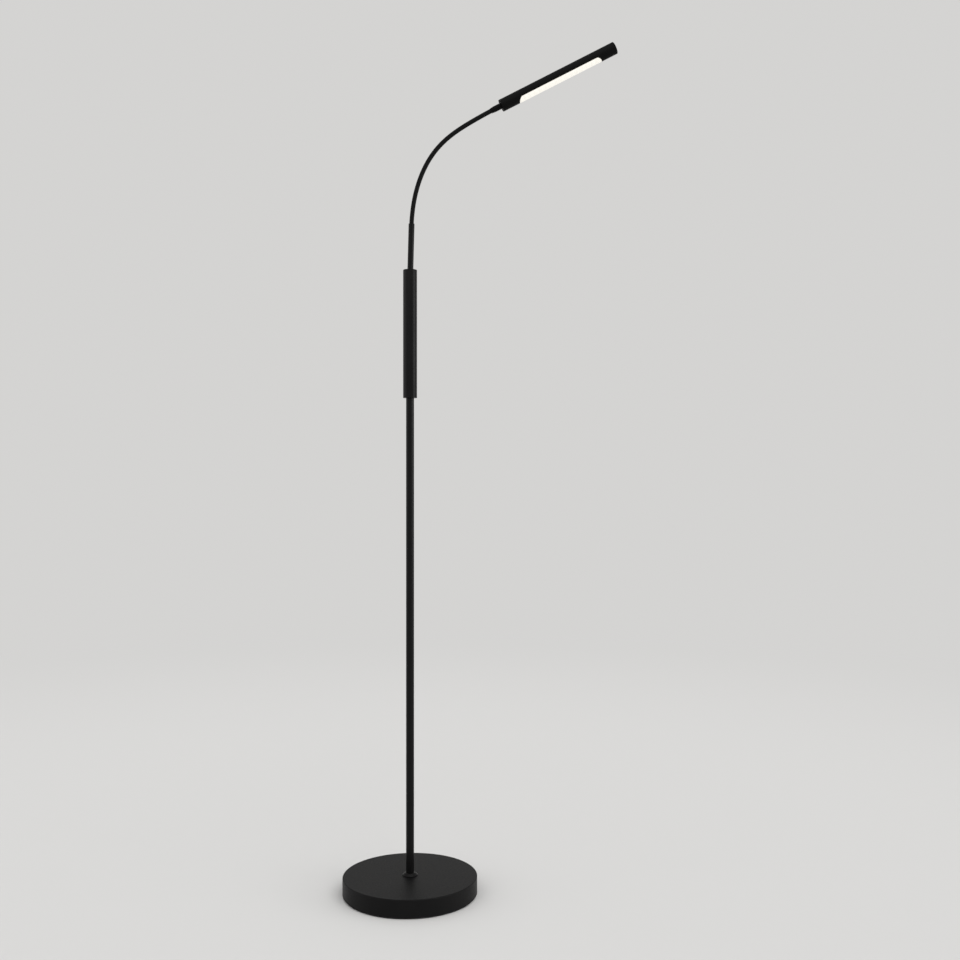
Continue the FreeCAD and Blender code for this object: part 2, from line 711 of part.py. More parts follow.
def slot_block(name, margin, from_x, to_x):
    """The slot's outline, with this margin inside it, as a solid between two depths on the head's underside."""
    wide = f"({SLOT_WIDTH} - 2 * {margin})"
    tall = f"(slot_length - 2 * {margin})"
    corner = f"(slot_corner - {margin})"
    foot = f"({SLOT_FOOT} + {margin})"
    deep = f"({to_x} - {from_x})"
    run = f"({tall} - 2 * {corner})"
    middle = block(name + "_middle", deep, wide, run, x=from_x, y=f"-{wide} / 2", z=f"{foot} + {corner}")
    ends = block(name + "_ends", deep, f"{wide} - 2 * {corner}", tall, x=from_x,
                 y=f"-{wide} / 2 + {corner}", z=foot)
    rounds = [rod(f"{name}_round_{n}", f"2 * {corner}", deep, x=from_x,
                  y=f"{side} * ({wide} / 2 - {corner})", z=f"{foot} + {corner} + {far} * {run}", along="x")
              for n, (side, far) in enumerate(((-1, 0), (1, 0), (-1, 1), (1, 1)))]
    return join(name, middle, ends, *rounds)


def make_head(tip):
    pieces = []
    stem = "(ferrule_stem_diameter / 2)"
    socket = "(link_diameter / 2 + running_gap)"
    lead_hole = "(link_bore / 2)"
    rear_inner = "(ferrule_length + head_cap_rim)"
    rear_seat_end = f"({rear_inner} + head_cap_seat)"
    stem_end = f"({rear_seat_end} + ferrule_nut_thickness)"
    outer = "(head_diameter / 2)"
    spigot = f"({HEAD_BORE} / 2 - seat_gap)"

    ferrule = turned("head_ferrule", [
        (socket, "0"),
        ("ferrule_mouth_diameter / 2", "0"),
        ("ferrule_diameter / 2", "ferrule_taper_length"),
        ("ferrule_diameter / 2", "ferrule_length"),
        (stem, "ferrule_length"),
        (stem, stem_end),
        (lead_hole, stem_end),
        (lead_hole, "ferrule_socket"),
        (socket, "ferrule_socket"),
    ])
    pieces.append(ferrule)

    rear = turned("head_rear_cap", [
        (f"{stem} + seat_gap", "ferrule_length"),
        (outer, "ferrule_length"),
        (outer, rear_inner),
        (spigot, rear_inner),
        (spigot, rear_seat_end),
        (f"{stem} + seat_gap", rear_seat_end),
    ])
    soften(rear, "Chamfer", outer, "ferrule_length", "head_cap_edge")
    pieces.append(rear)

    nut = hexagon("ferrule_nut_blank", "ferrule_nut_across", "ferrule_nut_thickness", z=rear_seat_end)
    nut_bore = rod("ferrule_nut_bore", "ferrule_stem_diameter + 2 * thread_gap", "ferrule_nut_thickness",
                   z=rear_seat_end)
    pieces.append(cut("ferrule_nut", nut, nut_bore))

    end_inner = f"({HEAD_END} - head_cap_rim)"
    end_cap = turned("head_end_cap", [
        ("0", END_CAP_FOOT),
        (spigot, END_CAP_FOOT),
        (spigot, end_inner),
        (outer, end_inner),
        (outer, HEAD_END),
        ("0", HEAD_END),
    ])
    soften(end_cap, "Chamfer", outer, HEAD_END, "head_cap_edge")
    pieces.append(end_cap)

    pipe = tube("head_pipe", "head_diameter", HEAD_BORE, f"{end_inner} - {rear_inner}", z=rear_inner)
    pieces.append(cut("head_housing", pipe, slot_block("slot_cutter", "0", SLOT_DEPTH, "head_diameter")))

    bar_foot = f"({stem_end} + heat_bar_end_gap)"
    bar_length = f"({HEAT_BAR_END} - {bar_foot})"
    half = "(head_diameter / 2)"
    bar_round = rod("heat_bar_round", f"2 * {spigot}", bar_length, z=bar_foot)
    bar_half = block("heat_bar_half", f"{half} - led_plane_drop", "head_diameter", bar_length,
                     x=f"-{half}", y=f"-{half}", z=bar_foot)
    hollow_round = rod("heat_bar_hollow_round", f"2 * ({spigot} - heat_bar_wall)", bar_length, z=bar_foot)
    hollow_half = block("heat_bar_hollow_half", f"{half} - led_plane_drop - heat_bar_wall", "head_diameter",
                        bar_length, x=f"-{half}", y=f"-{half}", z=bar_foot)
    board_top = "(-led_plane_drop)"
    board_face = "(led_board_thickness - led_plane_drop)"
    screw_spots = [f"({LED_BOARD_FOOT} + board_screw_inset)",
                   f"({LED_BOARD_FOOT} + {LED_BOARD_LENGTH} - board_screw_inset)"]
    bar_holes = [rod(f"heat_bar_hole_{n}", "board_screw_diameter + 2 * thread_gap", "heat_bar_wall",
                     x=f"{board_top} - heat_bar_wall", z=spot, along="x") for n, spot in enumerate(screw_spots)]
    bar = cut("heat_bar_section", overlap("heat_bar_outer", bar_round, bar_half),
              overlap("heat_bar_inner", hollow_round, hollow_half))
    pieces.append(cut("heat_bar", bar, *bar_holes))

    board = block("led_board_blank", "led_board_thickness", "led_board_width", LED_BOARD_LENGTH,
                  x=board_top, y="-led_board_width / 2", z=LED_BOARD_FOOT)
    board_holes = [rod(f"led_board_hole_{n}", "board_screw_diameter + 2 * thread_gap", "led_board_thickness",
                       x=board_top, z=spot, along="x") for n, spot in enumerate(screw_spots)]
    pieces.append(cut("led_board", board, *board_holes))
    screws = []
    for n, spot in enumerate(screw_spots):
        shank = rod(f"board_screw_shank_{n}", "board_screw_diameter", "heat_bar_wall + led_board_thickness",
                    x=f"{board_top} - heat_bar_wall", z=spot, along="x")
        head = rod(f"board_screw_head_{n}", "board_screw_head", "board_screw_head_height", x=board_face,
                   z=spot, along="x")
        screws.append(join(f"board_screw_{n}", shank, head))
    pieces.append(group("board_screws", screws))
    chips = [block(f"led_chip_{n}", "led_height", "led_width", "led_length", x=board_face, y="-led_width / 2",
                   z=f"{SLOT_FOOT} + slot_length * {(n + 0.5) / LED_COUNT} - led_length / 2")
             for n in range(LED_COUNT)]
    pieces.append(group("led_chips", chips))

    lip_outer = f"({HEAD_BORE} / 2 - running_gap)"
    lip_length = "(slot_length + 2 * diffuser_lip)"
    lip_foot = f"({SLOT_FOOT} - diffuser_lip)"
    lip = tube("diffuser_lip_round", f"2 * {lip_outer}", f"2 * ({lip_outer} - diffuser_wall)", lip_length,
               z=lip_foot)
    lip_edge = f"({lip_outer} * cos(diffuser_lip_angle))"
    lip_half = block("diffuser_lip_half", "head_diameter", "head_diameter", lip_length, x=lip_edge,
                     y=f"-{half}", z=lip_foot)
    window_skin = tube("diffuser_window_round", "head_diameter - 2 * running_gap",
                       f"2 * ({lip_outer} - diffuser_wall / 2)", lip_length, z=lip_foot)
    window_shape = slot_block("diffuser_window_shape", "diffuser_gap", f"({SLOT_DEPTH} + diffuser_gap)",
                              "head_diameter")
    pieces.append(join("diffuser", overlap("diffuser_lip_part", lip, lip_half),
                       overlap("diffuser_window", window_skin, window_shape)))

    for piece in pieces:
        follow(piece, tip, "tip_showing")
        part(piece)


# ---- the whole lamp ----

make_base()
make_pole()
make_grip_shell()
make_battery()
make_electronics()
make_sleeve()
LINKS = make_neck()
make_head(LINKS[-1])
DOC.recompute()
make_leads(LINKS)
DOC.recompute()

for item in DOC.Objects:
    if {"Invalid", "Error"} & set(item.State):
        raise RuntimeError(f"{item.Name} did not build: {item.State}")
for item in PARTS:
    if item.Shape.isNull() or not item.Shape.isValid() or not item.Shape.Solids:
        raise RuntimeError(f"{item.Label} has no valid solid")

os.makedirs("parts", exist_ok=True)
for item in PARTS:
    item.Shape.exportStep(f"parts/{item.Label}.step")
    print(item.Label, len(item.Shape.Solids), round(item.Shape.Volume / 1000, 2))
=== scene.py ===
import json
import math

import bmesh
import bpy
from mathutils import Matrix, Vector

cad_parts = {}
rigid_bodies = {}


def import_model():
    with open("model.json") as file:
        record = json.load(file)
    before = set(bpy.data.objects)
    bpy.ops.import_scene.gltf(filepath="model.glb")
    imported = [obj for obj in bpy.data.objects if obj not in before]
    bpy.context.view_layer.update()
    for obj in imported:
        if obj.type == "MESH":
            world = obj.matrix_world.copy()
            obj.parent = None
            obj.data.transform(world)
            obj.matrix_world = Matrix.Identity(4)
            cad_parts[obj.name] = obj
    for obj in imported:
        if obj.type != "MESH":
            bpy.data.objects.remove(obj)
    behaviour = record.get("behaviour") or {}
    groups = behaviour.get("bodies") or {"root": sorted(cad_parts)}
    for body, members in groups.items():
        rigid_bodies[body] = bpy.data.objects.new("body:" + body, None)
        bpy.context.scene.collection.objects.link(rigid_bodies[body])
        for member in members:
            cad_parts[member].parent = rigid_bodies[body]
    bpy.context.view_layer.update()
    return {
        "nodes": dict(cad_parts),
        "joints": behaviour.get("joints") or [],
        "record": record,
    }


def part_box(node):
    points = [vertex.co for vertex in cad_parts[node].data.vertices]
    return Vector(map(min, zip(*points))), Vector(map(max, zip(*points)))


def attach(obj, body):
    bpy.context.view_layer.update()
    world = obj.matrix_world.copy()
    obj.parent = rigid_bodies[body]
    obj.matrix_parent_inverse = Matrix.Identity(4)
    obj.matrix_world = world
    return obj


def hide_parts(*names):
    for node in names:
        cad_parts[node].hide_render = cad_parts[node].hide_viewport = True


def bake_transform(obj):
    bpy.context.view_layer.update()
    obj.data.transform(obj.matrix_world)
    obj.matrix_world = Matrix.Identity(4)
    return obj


# Gooseneck reading floor lamp, in metres, +Z up. The head reaches along +X, and the lamp's back is +Y.
# Outlines are written in millimetres, as (radius, height, rounding) or (x, y, rounding) corners.

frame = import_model()

MM = 0.001

# Sizes in millimetres that the frame's boxes don't give.
BASE_WALL = 1.5
BASE_EDGE = 1.6
BASE_FOOT_EDGE = 0.4
FOOT_EDGE = 0.5
FOOT_GROOVES = (95, 75, 55, 35)
FOOT_GROOVE_HALF = 0.8
FOOT_GROOVE_DEPTH = 0.5
FOOT_GROOVE_ROUND = 0.2
COVER_HOLE = 4.5
POLE_WALL = 1.5
POLE_END_BEVEL = 0.3
COLLAR_TOP_RADIUS = 9.5
COLLAR_RIM = 1.4
COLLAR_ROUND = 1.2
COLLAR_RIM_ROUND = 0.6
COLLAR_FOOT_ROUND = 0.2
GRIP_WALL = 1.7
GRIP_TUBE_EDGE = 0.12
GRIP_CAP_RIM = 2
GRIP_CAP_ROUND = 0.7
GRIP_CAP_SEAM = 0.12
GRIP_CAP_SPIGOT = 16
BUTTON_RADIUS = 4.9
BUTTON_GAP = 0.1
BUTTON_FLANGE_RADIUS = 6
BUTTON_FLANGE = 0.9
BUTTON_ROUND = 0.5
BUTTON_RIM = 1.1
BUTTON_RIM_ROUND = 0.25
BUTTON_DISH = 0.35
BUTTON_DISH_RADIUS = 3.2
PORT_TALL = 9.3
PORT_WIDE = 3.6
PORT_ROUND = 1.79
SCREW_HEX = 2
SCREW_HEX_DEPTH = 2
SCREW_EDGE = 0.3
SLEEVE_LEAN = math.radians(1.5)
SLEEVE_RADIUS = 5.2
SLEEVE_BORE = 4.1
SLEEVE_SHOWING = 81
SLEEVE_IN_CAP = 20.6
SLEEVE_EDGE = 0.5
SLEEVE_BORE_EDGE = 0.125
HOSE_RADIUS = 4
HOSE_WALL = 0.9
HOSE_AT_ENDS = 6
HOSE_HIDDEN = 8
RIB_PITCH = 2.2
RIB_DEPTH = 0.14
RINGS_PER_RIB = 6
HEAD_TILT = math.radians(63)
HEAD_RADIUS = 10.75
HEAD_WALL = 1.4
HEAD_LENGTH = 223.5
HEAD_CAP_RIM = 3
HEAD_CAP_SEAT = 6
HEAD_CAP_EDGE = 0.4
HEAD_CAP_SEAM = 0.1
HOUSING_EDGE = 0.15
FERRULE_LENGTH = 19.7
FERRULE_EDGE = 0.15
FERRULE_RADIUS = 5.2
FERRULE_MOUTH_RADIUS = 4.5
FERRULE_TAPER = 7
FERRULE_TAPER_ROUND = 2 * FERRULE_TAPER / 3
FERRULE_SOCKET = 14
FERRULE_STEM_RADIUS = 3
FERRULE_STEM_WALL = 1
SLOT_START = 31.9
SLOT_LENGTH = 160.5
SLOT_HALF_ANGLE = math.radians(68)
SLOT_CORNER = 7.3
WINDOW_GAP = 0.15
WINDOW_SUNK = 0.1
WINDOW_EDGE = 0.25
LIP_HALF_ANGLE = math.radians(79)
LIP_OVERLAP = 4
DIFFUSER_WALL = 1.4
LED_COUNT = 16
SEAT_GAP = 0.05

# Heights along the head and radii inside it, which several of its pieces share.
HEAD_BORE = HEAD_RADIUS - HEAD_WALL
HEAD_SPIGOT = HEAD_BORE - SEAT_GAP
HOUSING_FOOT = FERRULE_LENGTH + HEAD_CAP_RIM
HEAD_END = FERRULE_LENGTH + HEAD_LENGTH
HOUSING_TOP = HEAD_END - HEAD_CAP_RIM
STEM_END = HOUSING_FOOT + HEAD_CAP_SEAT
SLOT_FOOT = FERRULE_LENGTH + SLOT_START

# Edges that turn by more than this stay sharp in the shading, or are rounded.
SHARP_TURN = math.radians(35)
FRAME_SHARP_TURN = math.radians(30)
BEVEL_TURN = math.radians(40)

NECK_JOINTS = [joint for joint in frame["joints"] if joint["name"].startswith("neck_")]
HINGES = [Vector(joint["pos_m"]) for joint in NECK_JOINTS]
NECK_BODIES = [NECK_JOINTS[0]["parent"]] + [joint["child"] for joint in NECK_JOINTS]
STAND, HEAD = NECK_BODIES[0], NECK_BODIES[-1]


def box_mm(node):
    """The lowest and highest corners of a node's box, in millimetres."""
    low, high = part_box(node)
    return low / MM, high / MM


def tilted(origin, angle):
    """A frame at a point whose +Z is turned this far from upright towards +X."""
    return Matrix.Translation(origin) @ Matrix.Rotation(angle, 4, "Y")


def facing_back(node):
    """A frame on the pole's axis, as high as this node's middle, whose +Z points to the lamp's back."""
    low, high = box_mm(node)
    middle = Vector((0, 0, (low.z + high.z) / 2 * MM))
    return Matrix.Translation(middle) @ Matrix.Rotation(math.radians(-90), 4, "X")


def line_angle(start, stop):
    """How far the line between two points leans from upright towards +X."""
    return math.atan2(stop.x - start.x, stop.z - start.z)


def along(lean):
    """The way up a line that leans this far from upright towards +X."""
    return Vector((math.sin(lean), 0, math.cos(lean)))


def across(lean):
    """The way square to such a line, in the plane that the neck bends in, towards +X."""
    return Vector((math.cos(lean), 0, -math.sin(lean)))


UPRIGHT = Matrix.Identity(4)
SLEEVE_TO_HINGE = Vector((0, 0, (SLEEVE_SHOWING + HOSE_AT_ENDS) * MM))
GRIP_TOP_CENTRE = HINGES[0] - tilted(Vector(), SLEEVE_LEAN) @ SLEEVE_TO_HINGE
SLEEVE_PLACE = tilted(GRIP_TOP_CENTRE, SLEEVE_LEAN)
HEAD_PLACE = tilted(HINGES[-1], HEAD_TILT) @ Matrix.Translation((0, 0, HOSE_AT_ENDS * MM))
LINK_ANGLES = [line_angle(a, b) for a, b in zip(HINGES, HINGES[1:])]
NECK_ANGLES = [SLEEVE_LEAN] + LINK_ANGLES + [HEAD_TILT]
LINK_PITCH = (HINGES[1] - HINGES[0]).length / MM


# ---- materials ----

# A Mix node has sockets for each kind of value. These are its colour ones, and its factor.
MIX_FACTOR = 0
MIX_FIRST = 6
MIX_SECOND = 7
MIX_RESULT = 2

# How far apart the bands of a wave texture are at scale 1.
WAVE_BAND = math.pi / 10

BLACK = (0.0042, 0.0041, 0.0042)
WARM_WHITE = (1.0, 0.955, 0.86)


class Nodes:
    """A material's node tree, with short calls for what the finishes below share."""

    def __init__(self, name):
        self.material = bpy.data.materials.new(name)
        self.material.use_nodes = True
        self.tree = self.material.node_tree
        self.shader = self.tree.nodes["Principled BSDF"]
        self.place = self.add("ShaderNodeTexCoord").outputs["Object"]
        self.bumps = None

    def add(self, kind, **settings):
        node = self.tree.nodes.new(kind)
        for key, setting in settings.items():
            setattr(node, key, setting)
        return node

    def link(self, output, socket):
        self.tree.links.new(output, socket)

    def drive(self, name, output):
        """Leads a node's output to one of the shader's own sockets."""
        self.link(output, self.shader.inputs[name])

    def set(self, **values):
        """Sets the shader's own sockets. A socket's spaces are written as underscores."""
        for key, value in values.items():
            self.shader.inputs[key.replace("_", " ")].default_value = value

    def stretched(self, scale):
        mapping = self.add("ShaderNodeMapping")
        mapping.inputs["Scale"].default_value = scale
        self.link(self.place, mapping.inputs["Vector"])
        return mapping.outputs["Vector"]

    def noise(self, grain_mm, detail=2.0, stretch=(1, 1, 1)):
        """Noise whose grains are about this many millimetres across."""
        texture = self.add("ShaderNodeTexNoise")
        texture.inputs["Scale"].default_value = 1 / (grain_mm * MM)
        texture.inputs["Detail"].default_value = detail
        source = self.place if stretch == (1, 1, 1) else self.stretched(stretch)
        self.link(source, texture.inputs["Vector"])
        return texture.outputs["Fac"]

    def spread(self, value, low=0, high=1, from_low=0.3, from_high=0.7):
        """A texture's value, stretched to run from low to high."""
        node = self.add("ShaderNodeMapRange")
        node.inputs["From Min"].default_value = from_low
        node.inputs["From Max"].default_value = from_high
        node.inputs["To Min"].default_value = low
        node.inputs["To Max"].default_value = high
        self.link(value, node.inputs["Value"])
        return node.outputs["Result"]

    def tint(self, value, dark, light):
        """A colour between two, by a texture's value."""
        node = self.add("ShaderNodeMix", data_type="RGBA")
        node.inputs[MIX_FIRST].default_value = (*dark, 1)
        node.inputs[MIX_SECOND].default_value = (*light, 1)
        self.link(value, node.inputs[MIX_FACTOR])
        return node.outputs[MIX_RESULT]

    def mottle(self, value, colour, low, high=1):
        """Gives the shader this colour, times a factor from low to high by a texture's value."""
        self.drive("Base Color", self.tint(value, scaled(colour, low), scaled(colour, high)))

    def roughen(self, value, low, high):
        """Gives the shader a roughness from low to high, by a texture's value."""
        self.drive("Roughness", self.spread(value, low, high))

    def bump(self, value, height_mm, strength):
        """Lays bumps of this height, by a texture's value, on those that are there already."""
        node = self.add("ShaderNodeBump")
        node.inputs["Strength"].default_value = strength
        node.inputs["Distance"].default_value = height_mm * MM
        self.link(value, node.inputs["Height"])
        if self.bumps:
            self.link(self.bumps, node.inputs["Normal"])
        self.bumps = node.outputs["Normal"]
        self.drive("Normal", self.bumps)


def scaled(colour, factor):
    return tuple(channel * factor for channel in colour)


def powder_coat(name, colour, roughness, shine):
    """Baked powder paint: a fine grain over a slow orange peel, a little uneven in tone and gloss."""
    nodes = Nodes(name)
    nodes.set(Specular_IOR_Level=shine)
    nodes.mottle(nodes.spread(nodes.noise(grain_mm=24, detail=3)), colour, low=0.88, high=1.12)
    nodes.roughen(nodes.noise(grain_mm=3, detail=4), low=roughness - 0.05, high=roughness + 0.05)
    nodes.bump(nodes.noise(grain_mm=2.4), height_mm=0.0675, strength=0.35)
    nodes.bump(nodes.noise(grain_mm=0.4), height_mm=0.045, strength=0.8)
    return nodes.material


def rubber(name, colour, grain_mm, roughness=0.75, shine=0.25):
    """Matt rubber or soft plastic, with dust-fine grain and faint paler bloom."""
    nodes = Nodes(name)
    nodes.set(Specular_IOR_Level=shine)
    bloom = nodes.spread(nodes.noise(grain_mm=9, detail=5), from_low=0.4, from_high=0.75)
    nodes.mottle(bloom, colour, low=1, high=1.35)
    nodes.roughen(nodes.noise(grain_mm=1.5), low=roughness - 0.08, high=roughness + 0.08)
    nodes.bump(nodes.noise(grain_mm, detail=3), height_mm=0.03, strength=0.5)
    return nodes.material


def metal(name, colour, roughness, stretch=(1, 1, 1), grain_mm=0.5):
    """Bare or plated metal. The stretch draws its grain out into fine turning or rolling lines."""
    nodes = Nodes(name)
    nodes.set(Metallic=1.0)
    tarnish = nodes.spread(nodes.noise(grain_mm=6, detail=4, stretch=stretch))
    nodes.mottle(tarnish, colour, low=0.82)
    nodes.roughen(nodes.noise(grain_mm, stretch=stretch), low=roughness - 0.08, high=roughness + 0.1)
    nodes.bump(nodes.noise(grain_mm, stretch=stretch), height_mm=0.01, strength=0.4)
    return nodes.material


def cast_iron(name, colour):
    """Sand-cast iron, coarse and dull, with darker pits."""
    nodes = Nodes(name)
    nodes.set(Metallic=0.7)
    pits = nodes.noise(grain_mm=1.8, detail=6)
    nodes.mottle(nodes.spread(pits), colour, low=0.5)
    nodes.roughen(pits, low=0.85, high=0.6)
    nodes.bump(nodes.noise(grain_mm=6), height_mm=0.3, strength=0.4)
    nodes.bump(pits, height_mm=0.15, strength=0.8)
    return nodes.material


def circuit_board(name, mask, copper, track_pitch_mm=4):
    """Solder mask over copper tracks, which show as bands with square corners."""
    nodes = Nodes(name)
    tracks = nodes.add("ShaderNodeTexVoronoi", distance="CHEBYCHEV", feature="DISTANCE_TO_EDGE")
    tracks.inputs["Scale"].default_value = 1 / (track_pitch_mm * MM)
    nodes.link(nodes.place, tracks.inputs["Vector"])
    track = nodes.spread(tracks.outputs["Distance"], low=1, high=0, from_low=0.05, from_high=0.08)
    nodes.drive("Base Color", nodes.tint(track, mask, copper))
    nodes.roughen(nodes.noise(grain_mm=1), low=0.3, high=0.42)
    nodes.bump(track, height_mm=0.03, strength=0.6)
    return nodes.material


def wrapped_cell(name, colour):
    """Shrink film on a battery cell, glossy, with faint creases along it."""
    nodes = Nodes(name)
    creases = nodes.noise(grain_mm=2, detail=4, stretch=(1, 1, 0.15))
    nodes.mottle(nodes.spread(creases), colour, low=0.8)
    nodes.roughen(creases, low=0.22, high=0.38)
    nodes.bump(creases, height_mm=0.05, strength=0.5)
    return nodes.material


def phosphor(name, colour):
    """The yellow face of an LED, with its fine powder."""
    nodes = Nodes(name)
    nodes.mottle(nodes.spread(nodes.noise(grain_mm=0.2, detail=3)), colour, low=0.85)
    nodes.roughen(nodes.noise(grain_mm=0.4), low=0.25, high=0.35)
    nodes.bump(nodes.noise(grain_mm=0.2), height_mm=0.01, strength=0.4)
    return nodes.material


def milky_acrylic(name, colour, glow, strength):
    """The lit diffuser: satin opal acrylic, a shade brighter over each LED."""
    nodes = Nodes(name)
    nodes.set(Emission_Strength=strength, Coat_Weight=0.15)
    nodes.mottle(nodes.spread(nodes.noise(grain_mm=5, detail=3)), colour, low=0.96)
    nodes.roughen(nodes.noise(grain_mm=0.8), low=0.3, high=0.4)
    in_head = nodes.add("ShaderNodeMapping", vector_type="TEXTURE")
    in_head.inputs["Location"].default_value = HEAD_PLACE @ Vector((0, 0, SLOT_FOOT * MM))
    in_head.inputs["Rotation"].default_value = (0, HEAD_TILT, 0)
    nodes.link(nodes.place, in_head.inputs["Vector"])
    wave = nodes.add("ShaderNodeTexWave", bands_direction="Z", wave_profile="SIN")
    wave.inputs["Scale"].default_value = WAVE_BAND * LED_COUNT / (SLOT_LENGTH * MM)
    nodes.link(in_head.outputs["Vector"], wave.inputs["Vector"])
    nodes.drive("Emission Color", nodes.tint(wave.outputs["Fac"], scaled(glow, 0.93), glow))
    nodes.bump(nodes.noise(grain_mm=0.5), height_mm=0.01, strength=0.3)
    return nodes.material


FINISHES = {
    "base_powder_coat": powder_coat("base_powder_coat", BLACK, roughness=0.5, shine=0.1),
    "pole_powder_coat": powder_coat("pole_powder_coat", BLACK, roughness=0.32, shine=0.11),
    "grip_powder_coat": powder_coat("grip_powder_coat", BLACK, roughness=0.32, shine=0.11),
    # The head wears the same black paint as the pole, but its colour here is a quarter darker: painted shade
    # for the light that its tilted top doesn't get.
    "head_powder_coat": powder_coat("head_powder_coat", scaled(BLACK, 0.75), roughness=0.5, shine=0.06),
    "neck_hose": rubber("neck_hose", scaled(BLACK, 0.8), grain_mm=0.25, roughness=0.55, shine=0.08),
    "cast_weight": cast_iron("cast_weight", (0.2, 0.195, 0.19)),
    "plain_steel": metal("plain_steel", (0.62, 0.62, 0.6), roughness=0.35),
    "heat_bar_metal": metal("heat_bar_metal", (0.78, 0.78, 0.79), roughness=0.3, stretch=(1, 20, 1)),
    "foot_rubber": rubber("foot_rubber", (0.02, 0.02, 0.02), grain_mm=0.8),
    "black_plastic": rubber("black_plastic", (0.016, 0.016, 0.016), grain_mm=0.3, roughness=0.5),
    "board_laminate": circuit_board("board_laminate", (0.02, 0.13, 0.05), copper=(0.06, 0.25, 0.09)),
    "led_laminate": circuit_board("led_laminate", (0.86, 0.86, 0.84), copper=(0.78, 0.77, 0.72)),
    "led_phosphor": phosphor("led_phosphor", (0.9, 0.7, 0.2)),
    "cell_wrap": wrapped_cell("cell_wrap", (0.03, 0.16, 0.3)),
    "contact_metal": metal("contact_metal", (0.72, 0.7, 0.66), roughness=0.25, grain_mm=0.3),
    "lead_jacket": rubber("lead_jacket", (0.02, 0.02, 0.02), grain_mm=0.5, roughness=0.5),
    "diffuser_acrylic": milky_acrylic("diffuser_acrylic", (0.6, 0.59, 0.555), WARM_WHITE, strength=0.52),
}

NODE_SLOTS = {entry["node"]: entry["material_slot"] for entry in frame["record"]["subparts"]}


# ---- meshes ----

# A point of an outline that is nearer to the axis than this is on it.
ON_AXIS = 1e-6


def rounded(corners, steps=6):
    """The points of a closed outline, with each corner that has a rounding turned into an arc."""
    points = []
    for n, (x, y, rounding) in enumerate(corners):
        corner = Vector((x, y))
        if not rounding:
            points.append(corner)
            continue
        back = (Vector(corners[n - 1][:2]) - corner).normalized()
        ahead = (Vector(corners[(n + 1) % len(corners)][:2]) - corner).normalized()
        half = back.angle(ahead) / 2
        centre = corner + (back + ahead).normalized() * (rounding / math.sin(half))
        spokes = [corner + way * (rounding / math.tan(half)) - centre for way in (back, ahead)]
        first, last = (math.atan2(spoke.y, spoke.x) for spoke in spokes)
        turn = (last - first + math.pi) % (2 * math.pi) - math.pi
        for step in range(steps + 1):
            angle = first + turn * step / steps
            points.append(centre + Vector((math.cos(angle), math.sin(angle))) * rounding)
    return points


def strip(mesh, one, other):
    """Faces between two rows of points. They are triangles where a row's points are all one."""
    for a, b, c, d in zip(one, one[1:], other[1:], other):
        corners = list(dict.fromkeys((a, b, c, d)))
        if len(corners) > 2:
            mesh.faces.new(corners)


def band(mesh, one, other):
    """Faces between two closed rings of points."""
    strip(mesh, one + one[:1], other + other[:1])


def new_piece(name, mesh, place):
    """An object of a mesh in millimetres, put in the lamp's frame, smooth but for its sharp edges."""
    bmesh.ops.recalc_face_normals(mesh, faces=mesh.faces)
    data = bpy.data.meshes.new(name)
    mesh.to_mesh(data)
    mesh.free()
    data.transform(place @ Matrix.Scale(MM, 4))
    data.shade_smooth()
    data.set_sharp_from_angle(angle=SHARP_TURN)
    piece = bpy.data.objects.new(name, data)
    bpy.context.scene.collection.objects.link(piece)
    return piece


def lathe(name, corners, place=UPRIGHT, sides=96):
    """A piece turned round the Z axis of its place from its closed outline."""
    mesh = bmesh.new()
    angles = [2 * math.pi * n / sides for n in range(sides)]
    rings = []
    for radius, height in rounded(corners):
        if radius < ON_AXIS:
            rings.append([mesh.verts.new((0, 0, height))] * sides)
            continue
        rings.append([mesh.verts.new((radius * math.cos(a), radius * math.sin(a), height)) for a in angles])
    for ring, after in zip(rings, rings[1:] + rings[:1]):
        band(mesh, ring, after)
    return new_piece(name, mesh, place)


def tube(name, box, wall, edge, sides=96):
    """An upright tube that fills this box, with its outer edges rounded."""
    low, high = box
    return lathe(name, [
        (high.x, low.z, edge),
        (high.x, high.z, edge),
        (high.x - wall, high.z, 0),
        (high.x - wall, low.z, 0),
    ], sides=sides)


def rod(name, radius, low, high, place, sides=96):
    """A plain round rod between two heights, which cuts a hole."""
    return lathe(name, [
        (0, low, 0),
        (radius, low, 0),
        (radius, high, 0),
        (0, high, 0),
    ], place, sides)


def prism(name, corners, low, high, place):
    """A straight-sided piece from its closed outline, between two heights."""
    mesh = bmesh.new()
    points = rounded(corners)
    ends = [[mesh.verts.new((*point, height)) for point in points] for height in (low, high)]
    band(mesh, *ends)
    for end in ends:
        mesh.faces.new(end)
    return new_piece(name, mesh, place)


def carve(piece, *cutters):
    """Cuts other pieces out of this one, and removes them."""
    for cutter in cutters:
        modifier = piece.modifiers.new("carve", "BOOLEAN")
        modifier.object = cutter
        modifier.solver = "EXACT"
    carved = piece.evaluated_get(bpy.context.evaluated_depsgraph_get())
    data = bpy.data.meshes.new_from_object(carved)
    piece.modifiers.clear()
    piece.data = data
    data.set_sharp_from_angle(angle=SHARP_TURN)
    for cutter in cutters:
        bpy.data.objects.remove(cutter)


def round_edges(piece, width, segments):
    """Rounds a piece's sharp edges to this width in millimetres."""
    modifier = piece.modifiers.new("edges", "BEVEL")
    modifier.width = width * MM
    modifier.segments = segments
    modifier.limit_method = "ANGLE"
    modifier.angle_limit = BEVEL_TURN


def even_shading(piece):
    """Keeps flat faces flat in the shading, right up to their rounded edges."""
    modifier = piece.modifiers.new("even_shading", "WEIGHTED_NORMAL")
    modifier.keep_sharp = True


